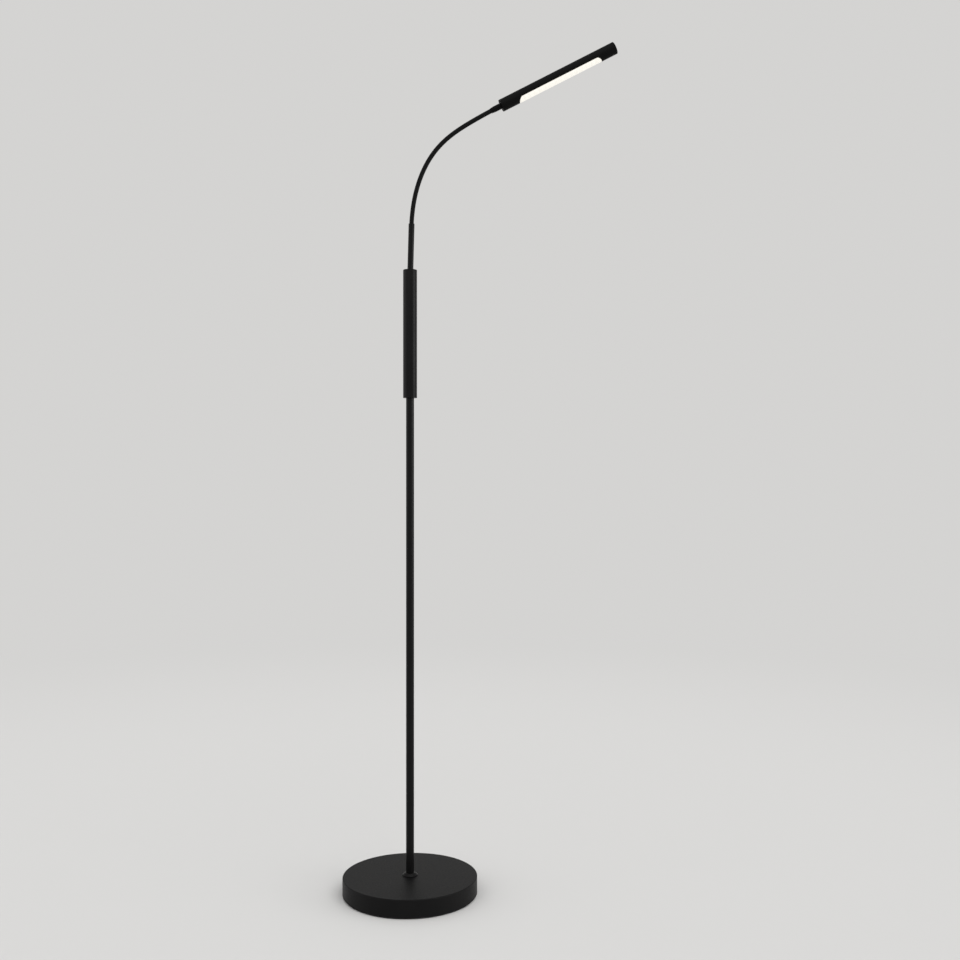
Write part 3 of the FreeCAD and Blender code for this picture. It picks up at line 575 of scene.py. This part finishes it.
def place_piece(piece, body, *nodes):
    """Rides a piece on its body, in place of these nodes, with the finish of the first one's slot."""
    name = NODE_SLOTS[nodes[0]]
    piece.data.materials.clear()
    piece.data.materials.append(FINISHES[name])
    if body:
        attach(piece, body)
    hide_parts(*nodes)


def finish_frame_nodes():
    """Gives each of the frame's pieces its finish, and smooths its round faces."""
    for name, node in frame["nodes"].items():
        node.data.materials.clear()
        node.data.materials.append(FINISHES[NODE_SLOTS[name]])
        node.data.shade_smooth()
        node.data.set_sharp_from_angle(angle=FRAME_SHARP_TURN)


# ---- weighted base and pole ----


def make_base_cover():
    """The painted steel shell over the weight, open at its foot."""
    low, high = box_mm("base_cover")
    radius = high.x
    cover = lathe("base_cover_shell", [
        (radius, low.z, BASE_FOOT_EDGE),
        (radius, high.z, BASE_EDGE),
        (COVER_HOLE, high.z, 0),
        (COVER_HOLE, high.z - BASE_WALL, 0),
        (radius - BASE_WALL, high.z - BASE_WALL, 0),
        (radius - BASE_WALL, low.z, 0),
    ], sides=256)
    even_shading(cover)
    place_piece(cover, STAND, "base_cover")


def make_foot_pad():
    """The rubber pad under the base, with round grooves in its underside."""
    low, high = box_mm("foot_pad")
    underside = [(0, low.z, 0)]
    for radius in reversed(FOOT_GROOVES):
        for side, depth in ((-1, 0), (-1, FOOT_GROOVE_DEPTH), (1, FOOT_GROOVE_DEPTH), (1, 0)):
            underside.append((radius + side * FOOT_GROOVE_HALF, low.z + depth, FOOT_GROOVE_ROUND))
    foot = lathe("foot_pad_disc", underside + [
        (high.x, low.z, FOOT_EDGE),
        (high.x, high.z, 0),
        (0, high.z, 0),
    ], sides=192)
    even_shading(foot)
    place_piece(foot, STAND, "foot_pad")


def make_pole():
    """The pole's two lengths, and the collar at its foot."""
    for name in ("pole_lower", "pole_upper"):
        length = tube(name + "_tube", box_mm(name), POLE_WALL, POLE_END_BEVEL)
        even_shading(length)
        place_piece(length, STAND, name)

    low, high = box_mm("pole_collar")
    inside = box_mm("pole_lower")[1].x + SEAT_GAP
    collar = lathe("pole_collar_cone", [
        (inside, low.z, 0),
        (high.x, low.z, COLLAR_FOOT_ROUND),
        (high.x, low.z + COLLAR_RIM, COLLAR_RIM_ROUND),
        (COLLAR_TOP_RADIUS, high.z, COLLAR_ROUND),
        (inside, high.z, 0),
    ])
    even_shading(collar)
    place_piece(collar, STAND, "pole_collar")


# ---- grip ----

GRIP_BOX = box_mm("grip_tube")
GRIP_RADIUS = GRIP_BOX[1].x
GRIP_BORE = GRIP_RADIUS - GRIP_WALL
# How far from the pole's axis the cutters of the grip's holes reach.
CUT_REACH = 2 * GRIP_RADIUS


def make_grip_tube():
    """The grip's tube, with its holes for the button, the charge port and the set screw."""
    grip = tube("grip_tube_shell", GRIP_BOX, GRIP_WALL, GRIP_TUBE_EDGE, sides=128)
    button_hole = rod("button_hole", BUTTON_RADIUS + BUTTON_GAP, 0, CUT_REACH, facing_back("power_button"))
    port_hole = prism("port_hole", [
        (-PORT_WIDE / 2, -PORT_TALL / 2, PORT_ROUND),
        (PORT_WIDE / 2, -PORT_TALL / 2, PORT_ROUND),
        (PORT_WIDE / 2, PORT_TALL / 2, PORT_ROUND),
        (-PORT_WIDE / 2, PORT_TALL / 2, PORT_ROUND),
    ], 0, CUT_REACH, facing_back("charge_port"))
    screw_radius = box_mm("grip_set_screw")[1].x + SEAT_GAP
    screw_hole = rod("screw_hole", screw_radius, 0, CUT_REACH, facing_back("grip_set_screw"), sides=32)
    carve(grip, button_hole, port_hole, screw_hole)
    place_piece(grip, STAND, "grip_tube")


def make_set_screw():
    """The screw that holds the grip on the pole, with its hexagon socket."""
    low, high = box_mm("grip_set_screw")
    place = facing_back("grip_set_screw")
    screw = lathe("set_screw_body", [
        (0, low.y, 0),
        (high.x, low.y, 0),
        (high.x, high.y, SCREW_EDGE),
        (0, high.y, 0),
    ], place, sides=48)
    corner = SCREW_HEX / 2 / math.cos(math.pi / 6)
    turns = [math.pi / 3 * n for n in range(6)]
    hexagon = [(corner * math.cos(turn), corner * math.sin(turn), 0) for turn in turns]
    carve(screw, prism("screw_socket", hexagon, high.y - SCREW_HEX_DEPTH, 2 * high.y, place))
    place_piece(screw, STAND, "grip_set_screw")


def make_grip_caps():
    """The cap that sits on the pole's top, and the one that the sleeve comes out of."""
    low, high = box_mm("grip_bottom_cap")
    pole_radius = box_mm("pole_upper")[1].x + SEAT_GAP
    lower = lathe("grip_bottom_cap_turned", [
        (pole_radius, low.z, 0),
        (GRIP_RADIUS, low.z, GRIP_CAP_ROUND),
        (GRIP_RADIUS, low.z + GRIP_CAP_RIM, GRIP_CAP_SEAM),
        (GRIP_BORE - SEAT_GAP, low.z + GRIP_CAP_RIM, 0),
        (GRIP_BORE - SEAT_GAP, high.z, 0),
        (0, high.z, 0),
        (0, low.z + GRIP_CAP_SPIGOT, 0),
        (pole_radius, low.z + GRIP_CAP_SPIGOT, 0),
    ], sides=128)
    even_shading(lower)
    place_piece(lower, STAND, "grip_bottom_cap")

    low, high = box_mm("grip_top_cap")
    upper = lathe("grip_top_cap_turned", [
        (0, low.z, 0),
        (GRIP_BORE - SEAT_GAP, low.z, 0),
        (GRIP_BORE - SEAT_GAP, high.z - GRIP_CAP_RIM, 0),
        (GRIP_RADIUS, high.z - GRIP_CAP_RIM, GRIP_CAP_SEAM),
        (GRIP_RADIUS, high.z, GRIP_CAP_ROUND),
        (0, high.z, 0),
    ], sides=128)
    hole_radius = SLEEVE_RADIUS + SEAT_GAP
    below_cap = -3 * SLEEVE_IN_CAP
    carve(upper, rod("sleeve_hole", hole_radius, below_cap, SLEEVE_SHOWING, SLEEVE_PLACE, sides=64))
    even_shading(upper)
    place_piece(upper, STAND, "grip_top_cap")


def make_button():
    """The power button, with a dished face and the flange that keeps it in the grip."""
    low, high = box_mm("power_button")
    button = lathe("power_button_dished", [
        (0, low.y, 0),
        (BUTTON_FLANGE_RADIUS, low.y, 0),
        (BUTTON_FLANGE_RADIUS, low.y + BUTTON_FLANGE, 0),
        (BUTTON_RADIUS, low.y + BUTTON_FLANGE, 0),
        (BUTTON_RADIUS, high.y, BUTTON_ROUND),
        (BUTTON_RADIUS - BUTTON_RIM, high.y, BUTTON_RIM_ROUND),
        (BUTTON_DISH_RADIUS, high.y - BUTTON_DISH, BUTTON_ROUND),
        (0, high.y - BUTTON_DISH, 0),
    ], facing_back("power_button"), sides=96)
    even_shading(button)
    place_piece(button, "power_button", "power_button")


# ---- neck ----


def make_sleeve():
    """The straight tube between the grip and the hose."""
    sleeve = lathe("neck_sleeve_tube", [
        (SLEEVE_BORE, -SLEEVE_IN_CAP, 0),
        (SLEEVE_RADIUS, -SLEEVE_IN_CAP, 0),
        (SLEEVE_RADIUS, SLEEVE_SHOWING, SLEEVE_EDGE),
        (SLEEVE_BORE, SLEEVE_SHOWING, SLEEVE_BORE_EDGE),
    ], SLEEVE_PLACE, sides=96)
    even_shading(sleeve)
    place_piece(sleeve, STAND, "neck_sleeve")


def hose_line(number, before, after, reach):
    """The centre line of one length of hose in its hinge's frame, as (distance, place, lean) from its start.

    It comes in straight, turns in an arc that starts and ends this reach from the hinge, and goes out
    straight.
    """
    lean_in, lean_out = NECK_ANGLES[number], NECK_ANGLES[number + 1]
    bend = lean_out - lean_in
    radius = reach / math.tan(bend / 2)
    arc = radius * bend
    length = before - reach + arc + after - reach
    arc_start = -reach * along(lean_in)
    centre = arc_start + across(lean_in) * radius
    count = round(length / (RIB_PITCH / RINGS_PER_RIB))
    line = []
    for n in range(count + 1):
        distance = length * n / count
        on_arc = distance - (before - reach)
        if on_arc < 0:
            line.append((distance, arc_start + along(lean_in) * on_arc, lean_in))
        elif on_arc < arc:
            lean = lean_in + on_arc / radius
            line.append((distance, centre - across(lean) * radius, lean))
        else:
            line.append((distance, along(lean_out) * (reach + on_arc - arc), lean_out))
    return line


def groove(turns):
    """How deep the groove between the coil's ribs is after this many turns, from 0 on a rib to 1."""
    return 0.5 - 0.5 * math.cos(2 * math.pi * turns)


def hose_ring(mesh, place, lean, radii):
    """A ring of points square to the hose, whose distances from its centre line are given."""
    ring = []
    for n, radius in enumerate(radii):
        angle = 2 * math.pi * n / len(radii)
        spoke = across(lean) * math.cos(angle) + Vector((0, math.sin(angle), 0))
        ring.append(mesh.verts.new(place + spoke * radius))
    return ring


def hose_length(number, travelled, sides=40):
    """The hose over one hinge, with the ribs of the coil under its skin. Gives the piece and its length."""
    first, last = number == 0, number == len(HINGES) - 1
    before = HOSE_AT_ENDS + HOSE_HIDDEN if first else LINK_PITCH / 2
    after = HOSE_AT_ENDS + HOSE_HIDDEN if last else LINK_PITCH / 2
    reach = HOSE_AT_ENDS if first or last else LINK_PITCH / 2
    line = hose_line(number, before, after, reach)
    mesh = bmesh.new()
    outside = []
    for distance, place, lean in line:
        turns = (travelled + distance) / RIB_PITCH
        radii = [HOSE_RADIUS - RIB_DEPTH * groove(turns - n / sides) for n in range(sides)]
        outside.append(hose_ring(mesh, place, lean, radii))
    bore = [HOSE_RADIUS - HOSE_WALL] * sides
    inner_line = line[:-1:RINGS_PER_RIB] + line[-1:]
    inside = [hose_ring(mesh, place, lean, bore) for _, place, lean in inner_line]
    for rings in (outside, inside, (outside[0], inside[0]), (outside[-1], inside[-1])):
        for one, other in zip(rings, rings[1:]):
            band(mesh, one, other)
    piece = new_piece(f"neck_hose_{number + 1:02d}", mesh, Matrix.Translation(HINGES[number]))
    return piece, line[-1][0]


def make_hose():
    """The gooseneck, in one length for each hinge, which bends smoothly between the middles of two links."""
    travelled = 0
    last = len(HINGES) - 1
    for number, hinge in enumerate(HINGES):
        piece, length = hose_length(number, travelled)
        travelled += length
        nodes = ["neck_link_root", "neck_lead"] if number == 0 else [f"neck_link_{number:02d}"]
        if number == last:
            nodes.append("neck_link_tip")
        place_piece(piece, None, *nodes)
        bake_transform(piece)


# ---- head: its local +Z runs along it from the ferrule's mouth, and its +X is the underside ----


def slot_half_angle(height, margin):
    """Half the opening of the slot, as an angle round the head, at a height above the slot's foot.

    The margin is how far inside the slot's edge the line runs.
    """
    wide = HEAD_RADIUS * math.sin(SLOT_HALF_ANGLE) - margin
    corner = SLOT_CORNER - margin
    from_end = min(height - margin, SLOT_LENGTH - margin - height)
    inset = max(corner - from_end, 0)
    reach = wide - corner + math.sqrt(max(corner ** 2 - inset ** 2, 0))
    return math.asin(reach / HEAD_RADIUS)


def slot_rows(margin, steps=14):
    """Heights along the head and half angles of the slot's edge, close together where its corners turn."""
    corner = SLOT_CORNER - margin
    near = [margin + corner * (1 - math.cos(math.pi / 2 * n / steps)) for n in range(steps + 1)]
    heights = near + [SLOT_LENGTH - height for height in reversed(near)]
    return [(SLOT_FOOT + height, slot_half_angle(height, margin)) for height in heights]


def on_head(radius, angle, height):
    return Vector((radius * math.cos(angle), radius * math.sin(angle), height))


def arc_of_points(mesh, radius, start, stop, height, sides):
    """Points round the head from one angle to another."""
    angles = [start + (stop - start) * n / sides for n in range(sides + 1)]
    return [mesh.verts.new(on_head(radius, angle, height)) for angle in angles]


def make_housing(sides=120, closing_sides=24):
    """The housing's tube, meshed in rows that open at the slot and follow its edge."""
    slot = slot_rows(0)
    end_half = slot[0][1]
    rows = [(HOUSING_FOOT, end_half)] + slot + [(HOUSING_TOP, end_half)]
    last = len(rows) - 1
    mesh = bmesh.new()
    skins = []
    for radius in (HEAD_RADIUS, HEAD_BORE):
        open_part = [arc_of_points(mesh, radius, half, 2 * math.pi - half, height, sides)
                     for height, half in rows]
        closing = {}
        for n in (0, 1, last - 1, last):
            turns = [-end_half + 2 * end_half * k / closing_sides for k in range(1, closing_sides)]
            middle = [mesh.verts.new(on_head(radius, turn, rows[n][0])) for turn in turns]
            closing[n] = [open_part[n][-1]] + middle + [open_part[n][0]]
        skins.append((open_part, closing))

    for open_part, closing in skins:
        for one, other in zip(open_part, open_part[1:]):
            strip(mesh, one, other)
        strip(mesh, closing[0], closing[1])
        strip(mesh, closing[last - 1], closing[last])
    (outer, outer_closing), (inner, inner_closing) = skins
    for n in (0, last):
        strip(mesh, outer[n], inner[n])
        strip(mesh, outer_closing[n], inner_closing[n])
    for n in (1, last - 1):
        strip(mesh, outer_closing[n], inner_closing[n])
    for side in (0, -1):
        strip(mesh, *([row[side] for row in part[1:-1]] for part in (outer, inner)))
    housing = new_piece("head_housing_tube", mesh, HEAD_PLACE)
    round_edges(housing, HOUSING_EDGE, segments=2)
    even_shading(housing)
    place_piece(housing, HEAD, "head_housing")


def curved_patch(mesh, outer, inner, rows, sides=72):
    """A closed patch of tube between two radii, whose rows give its height and half its angle."""
    rims = []
    for radius in (outer, inner):
        grid = [arc_of_points(mesh, radius, -half, half, height, sides) for height, half in rows]
        for one, other in zip(grid, grid[1:]):
            strip(mesh, one, other)
        near_side = [row[0] for row in grid]
        far_side = [row[-1] for row in grid]
        rims.append([grid[0], far_side, grid[-1][::-1], near_side[::-1]])
    for one, other in zip(*rims):
        strip(mesh, one, other)


def make_diffuser():
    """The lit window, with the lip that holds it from inside the housing."""
    lip_top = HEAD_BORE - WINDOW_SUNK
    lip_rows = [(SLOT_FOOT - LIP_OVERLAP, LIP_HALF_ANGLE),
                (SLOT_FOOT + SLOT_LENGTH + LIP_OVERLAP, LIP_HALF_ANGLE)]
    mesh = bmesh.new()
    curved_patch(mesh, HEAD_RADIUS - WINDOW_SUNK, lip_top - DIFFUSER_WALL / 2, slot_rows(WINDOW_GAP))
    curved_patch(mesh, lip_top, lip_top - DIFFUSER_WALL, lip_rows)
    window = new_piece("diffuser_window", mesh, HEAD_PLACE)
    round_edges(window, WINDOW_EDGE, segments=3)
    even_shading(window)
    place_piece(window, HEAD, "diffuser")


def make_ferrule():
    """The socket that takes the hose, and the hollow stem that holds it to the head."""
    socket = HOSE_RADIUS + 2 * SEAT_GAP
    stem_bore = FERRULE_STEM_RADIUS - FERRULE_STEM_WALL
    ferrule = lathe("head_ferrule_turned", [
        (socket, 0, 0),
        (FERRULE_MOUTH_RADIUS, 0, FERRULE_EDGE),
        (FERRULE_RADIUS, FERRULE_TAPER, FERRULE_TAPER_ROUND),
        (FERRULE_RADIUS, FERRULE_LENGTH, 0),
        (FERRULE_STEM_RADIUS, FERRULE_LENGTH, 0),
        (FERRULE_STEM_RADIUS, STEM_END, 0),
        (stem_bore, STEM_END, 0),
        (stem_bore, FERRULE_SOCKET, 0),
        (socket, FERRULE_SOCKET, 0),
    ], HEAD_PLACE, sides=96)
    even_shading(ferrule)
    place_piece(ferrule, HEAD, "head_ferrule")


def make_head_caps():
    """The two square-cut ends of the head."""
    rear = lathe("head_rear_cap_turned", [
        (FERRULE_STEM_RADIUS + SEAT_GAP, FERRULE_LENGTH, 0),
        (HEAD_RADIUS, FERRULE_LENGTH, HEAD_CAP_EDGE),
        (HEAD_RADIUS, HOUSING_FOOT, HEAD_CAP_SEAM),
        (HEAD_SPIGOT, HOUSING_FOOT, 0),
        (HEAD_SPIGOT, STEM_END, 0),
        (FERRULE_STEM_RADIUS + SEAT_GAP, STEM_END, 0),
    ], HEAD_PLACE, sides=144)
    even_shading(rear)
    place_piece(rear, HEAD, "head_rear_cap")

    end_cap = lathe("head_end_cap_turned", [
        (0, HOUSING_TOP - HEAD_CAP_SEAT, 0),
        (HEAD_SPIGOT, HOUSING_TOP - HEAD_CAP_SEAT, 0),
        (HEAD_SPIGOT, HOUSING_TOP, 0),
        (HEAD_RADIUS, HOUSING_TOP, HEAD_CAP_SEAM),
        (HEAD_RADIUS, HEAD_END, HEAD_CAP_EDGE),
        (0, HEAD_END, 0),
    ], HEAD_PLACE, sides=144)
    even_shading(end_cap)
    place_piece(end_cap, HEAD, "head_end_cap")


# ---- studio ----

BACKDROP = (0.66, 0.655, 0.645)
FLOOR_RADIUS = 8
FADE_START = 1.1
FADE_END = 3.2
AMBIENT = 0.62

CAMERA_PLACE = (0.1224, -1.9567, 0.724)
CAMERA_LENS = 41.927


def make_floor():
    """A pale floor that takes the lamp's shadow and fades into the backdrop's colour all round."""
    mesh = bmesh.new()
    bmesh.ops.create_circle(mesh, cap_ends=True, segments=128, radius=FLOOR_RADIUS / MM)
    floor = new_piece("studio_floor", mesh, UPRIGHT)
    nodes = Nodes("studio_floor")
    nodes.set(Base_Color=(*BACKDROP, 1), Roughness=0.9, Specular_IOR_Level=0.1)
    far = nodes.add("ShaderNodeEmission")
    far.inputs["Color"].default_value = (*BACKDROP, 1)
    distance = nodes.add("ShaderNodeVectorMath", operation="LENGTH")
    fade = nodes.add("ShaderNodeMapRange", interpolation_type="SMOOTHSTEP")
    fade.inputs["From Min"].default_value = FADE_START
    fade.inputs["From Max"].default_value = FADE_END
    mix = nodes.add("ShaderNodeMixShader")
    nodes.link(nodes.place, distance.inputs[0])
    nodes.link(distance.outputs["Value"], fade.inputs["Value"])
    nodes.link(fade.outputs["Result"], mix.inputs["Fac"])
    nodes.link(nodes.shader.outputs["BSDF"], mix.inputs[1])
    nodes.link(far.outputs["Emission"], mix.inputs[2])
    nodes.link(mix.outputs["Shader"], nodes.tree.nodes["Material Output"].inputs["Surface"])
    floor.data.materials.append(nodes.material)


def make_world():
    """The backdrop's colour where it is seen, also in or through a surface, and even light elsewhere."""
    world = bpy.data.worlds.new("studio")
    bpy.context.scene.world = world
    world.use_nodes = True
    tree = world.node_tree
    rays = tree.nodes.new("ShaderNodeLightPath")
    seen = rays.outputs["Is Camera Ray"]
    for kind in ("Is Glossy Ray", "Is Transmission Ray"):
        either = tree.nodes.new("ShaderNodeMath")
        either.operation = "MAXIMUM"
        tree.links.new(seen, either.inputs[0])
        tree.links.new(rays.outputs[kind], either.inputs[1])
        seen = either.outputs["Value"]
    mix = tree.nodes.new("ShaderNodeMix")
    mix.data_type = "RGBA"
    mix.inputs[MIX_FIRST].default_value = (AMBIENT, AMBIENT, AMBIENT, 1)
    mix.inputs[MIX_SECOND].default_value = (*BACKDROP, 1)
    tree.links.new(seen, mix.inputs[MIX_FACTOR])
    tree.links.new(mix.outputs[MIX_RESULT], tree.nodes["Background"].inputs["Color"])


def make_light(name, azimuth, elevation, spread, power):
    """An even, soft light from far away. Azimuth 0 is the camera's side, and 90 is +X."""
    data = bpy.data.lights.new(name, "SUN")
    data.energy = power
    data.angle = math.radians(spread)
    light = bpy.data.objects.new(name, data)
    light.rotation_euler = (math.radians(90 - elevation), 0, math.radians(azimuth))
    bpy.context.scene.collection.objects.link(light)


def make_camera():
    """A level camera that looks along +Y."""
    data = bpy.data.cameras.new("camera")
    data.lens = CAMERA_LENS
    camera = bpy.data.objects.new("camera", data)
    camera.location = CAMERA_PLACE
    camera.rotation_euler = (math.radians(90), 0, 0)
    bpy.context.scene.collection.objects.link(camera)
    bpy.context.scene.camera = camera


bpy.context.scene.view_settings.view_transform = "Standard"

finish_frame_nodes()
make_base_cover()
make_foot_pad()
make_pole()
make_grip_tube()
make_set_screw()
make_grip_caps()
make_button()
make_sleeve()
make_hose()
make_housing()
make_diffuser()
make_ferrule()
make_head_caps()
make_floor()
make_world()
make_light("key", azimuth=40, elevation=50, spread=40, power=1.0)
make_light("front", azimuth=-25, elevation=45, spread=70, power=0.6)
make_light("right", azimuth=76, elevation=5, spread=36, power=1.1)
make_light("left", azimuth=-85, elevation=5, spread=50, power=0.5)
make_camera()
